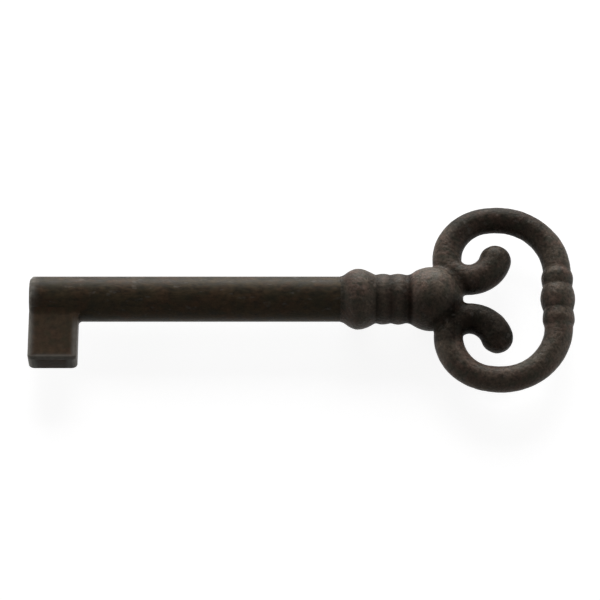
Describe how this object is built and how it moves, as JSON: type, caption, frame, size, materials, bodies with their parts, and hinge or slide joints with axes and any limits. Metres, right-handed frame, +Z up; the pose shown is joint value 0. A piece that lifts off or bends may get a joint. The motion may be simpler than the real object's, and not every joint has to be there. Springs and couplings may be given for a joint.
{
  "type": "furniture key",
  "caption": "Barrel key for a cupboard or drawer lock: bored shank with a flat bit, collared neck, ball and a bow of scrolled loops.",
  "frame": {"origin": "under the middle of the key's length, on its axis, at the height of its lowest point", "axes": "+X from the shank's tip to the bow, +Z up with the bow lying level, the bit points to -Y"},
  "size_m": [0.0722, 0.0268, 0.0085],
  "materials": {
    "shank_steel": "dark browned steel, satin, with fine lengthwise streaks",
    "bit_steel": "dark browned steel, satin, edges worn bright",
    "cast_bow": "dark brown antique casting with a fine grain"
  },
  "bodies": {
    "root": {"shank": "shank_steel", "bit": "bit_steel", "bow": "cast_bow"}
  },
  "joints": []
}
